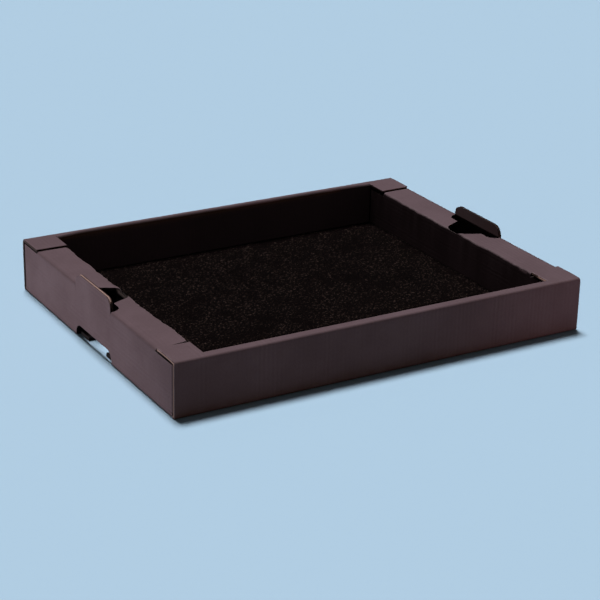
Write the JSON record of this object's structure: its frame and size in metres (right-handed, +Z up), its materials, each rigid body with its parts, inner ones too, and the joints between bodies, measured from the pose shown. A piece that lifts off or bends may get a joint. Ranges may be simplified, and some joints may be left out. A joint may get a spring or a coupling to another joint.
{
  "type": "foam-lined conductive parts tray",
  "caption": "Shallow stacking tray folded from dark conductive corrugated board, with hollow ends, stacking tabs, hand holes and a thin black foam liner.",
  "frame": {"origin": "middle of the tray's underside", "axes": "+X along the length towards one hollow end, +Y towards one doubled long wall, +Z up"},
  "size_m": [0.356, 0.279, 0.0522],
  "materials": {
    "folded_tray": "matte",
    "foam_liner": "matte"
  },
  "bodies": {
    "root": {"folded_tray": "folded_tray", "foam_liner": "foam_liner"}
  },
  "joints": []
}
